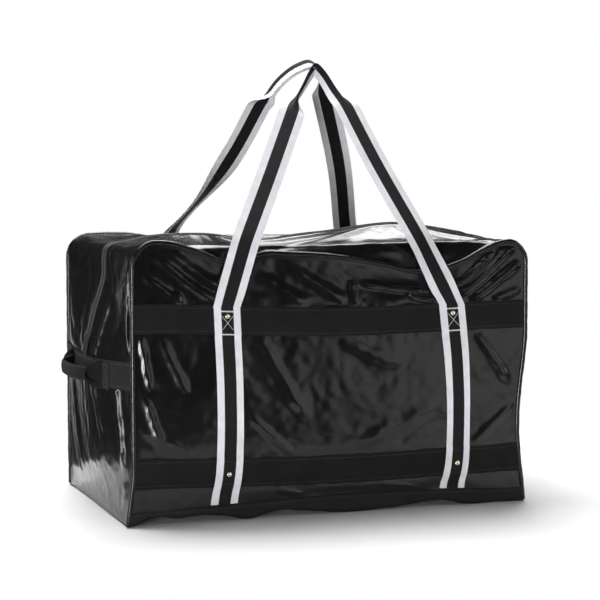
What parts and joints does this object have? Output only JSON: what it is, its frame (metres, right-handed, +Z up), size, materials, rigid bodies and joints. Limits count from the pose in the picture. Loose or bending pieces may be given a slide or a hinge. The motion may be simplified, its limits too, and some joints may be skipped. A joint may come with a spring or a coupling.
{
  "type": "hockey equipment bag",
  "caption": "Large black glossy vinyl carry bag for ice hockey kit, with a zipped top, black webbing bands, striped carry handles and grab handles on the ends.",
  "frame": {"origin": "middle of the base, on the surface that the bag stands on", "axes": "+X along the length of the bag, +Y from the front to the rear, +Z up"},
  "size_m": [0.9144, 0.4996, 0.9081],
  "materials": {
    "gloss_vinyl": "high-gloss PVC-coated tarpaulin, black, finely wrinkled",
    "base_fabric": "heavy matte black coated base fabric",
    "black_webbing": "matte black woven webbing",
    "striped_webbing": "woven webbing, black middle between two white edges",
    "zip_tape": "matte black woven zip tape",
    "zip_coil": "black moulded coil teeth",
    "slider_metal": "black-coated die-cast metal",
    "rivet_metal": "polished brass-toned rivet cap"
  },
  "bodies": {
    "bag": {"base_panel": "base_fabric", "front_left_lower_rivet": "rivet_metal", "front_left_strap": "striped_webbing", "front_left_upper_rivet": "rivet_metal", "front_lower_band": "black_webbing", "front_panel": "gloss_vinyl", "front_piping": "gloss_vinyl", "front_right_lower_rivet": "rivet_metal", "front_right_strap": "striped_webbing", "front_right_upper_rivet": "rivet_metal", "front_upper_band": "black_webbing", "left_end_band": "black_webbing", "left_end_panel": "gloss_vinyl", "left_end_zip_coil": "zip_coil", "left_end_zip_tape": "zip_tape", "left_grab_front_pad": "black_webbing", "left_grab_rear_pad": "black_webbing", "left_zip_end_tab": "black_webbing", "rear_left_lower_rivet": "rivet_metal", "rear_left_strap": "striped_webbing", "rear_left_upper_rivet": "rivet_metal", "rear_lower_band": "black_webbing", "rear_panel": "gloss_vinyl", "rear_piping": "gloss_vinyl", "rear_right_lower_rivet": "rivet_metal", "rear_right_strap": "striped_webbing", "rear_right_upper_rivet": "rivet_metal", "rear_upper_band": "black_webbing", "right_end_band": "black_webbing", "right_end_panel": "gloss_vinyl", "right_end_zip_coil": "zip_coil", "right_end_zip_tape": "zip_tape", "right_grab_front_pad": "black_webbing", "right_grab_rear_pad": "black_webbing", "right_zip_end_tab": "black_webbing", "top_front_margin": "gloss_vinyl", "top_rear_margin": "gloss_vinyl"},
    "front_handle_loop": {"front_handle": "striped_webbing"},
    "front_risers": {"front_left_riser": "striped_webbing", "front_right_riser": "striped_webbing"},
    "left_grab": {"left_grab_loop": "black_webbing"},
    "rear_handle_loop": {"rear_handle": "striped_webbing"},
    "rear_risers": {"rear_left_riser": "striped_webbing", "rear_right_riser": "striped_webbing"},
    "right_grab": {"right_grab_loop": "black_webbing"},
    "top_front": {"top_front_flap": "gloss_vinyl", "top_front_zip_coil": "zip_coil", "top_front_zip_tape": "zip_tape"},
    "top_rear": {"top_rear_flap": "gloss_vinyl", "top_rear_zip_coil": "zip_coil", "top_rear_zip_tape": "zip_tape"},
    "pull": {"zip_pull": "slider_metal"},
    "slider": {"zip_slider": "slider_metal"}
  },
  "joints": [
    {"name": "front_riser_hinge", "type": "hinge", "parent": "bag", "child": "front_risers", "pos_m": [0, -0.2465, 0.415], "axis": [1, 0, 0], "range_deg": [0, 50]},
    {"name": "front_handle_hinge", "type": "hinge", "parent": "front_risers", "child": "front_handle_loop", "pos_m": [0, -0.2465, 0.545], "axis": [1, 0, 0], "range_deg": [0, 160]},
    {"name": "rear_riser_hinge", "type": "hinge", "parent": "bag", "child": "rear_risers", "pos_m": [0, 0.2465, 0.415], "axis": [-1, 0, 0], "range_deg": [0, 50]},
    {"name": "rear_handle_hinge", "type": "hinge", "parent": "rear_risers", "child": "rear_handle_loop", "pos_m": [0, 0.2465, 0.545], "axis": [-1, 0, 0], "range_deg": [0, 160]},
    {"name": "top_front_hinge", "type": "hinge", "parent": "bag", "child": "top_front", "pos_m": [0, -0.208, 0.5375], "axis": [-1, 0, 0], "range_deg": [0, 75]},
    {"name": "top_rear_hinge", "type": "hinge", "parent": "bag", "child": "top_rear", "pos_m": [0, 0.208, 0.5375], "axis": [1, 0, 0], "range_deg": [0, 75]},
    {"name": "left_grab_hinge", "type": "hinge", "parent": "bag", "child": "left_grab", "pos_m": [-0.4215, 0, 0.2905], "axis": [0, 1, 0], "range_deg": [-35, 35]},
    {"name": "right_grab_hinge", "type": "hinge", "parent": "bag", "child": "right_grab", "pos_m": [0.4215, 0, 0.2905], "axis": [0, -1, 0], "range_deg": [-35, 35]},
    {"name": "zip_slide", "type": "slide", "parent": "bag", "child": "slider", "axis": [0, 0, 1], "range_m": [0, 0.09]},
    {"name": "zip_pull_hinge", "type": "hinge", "parent": "slider", "child": "pull", "pos_m": [0.4268, 0, 0.376], "axis": [0, -1, 0], "range_deg": [0, 150]}
  ]
}
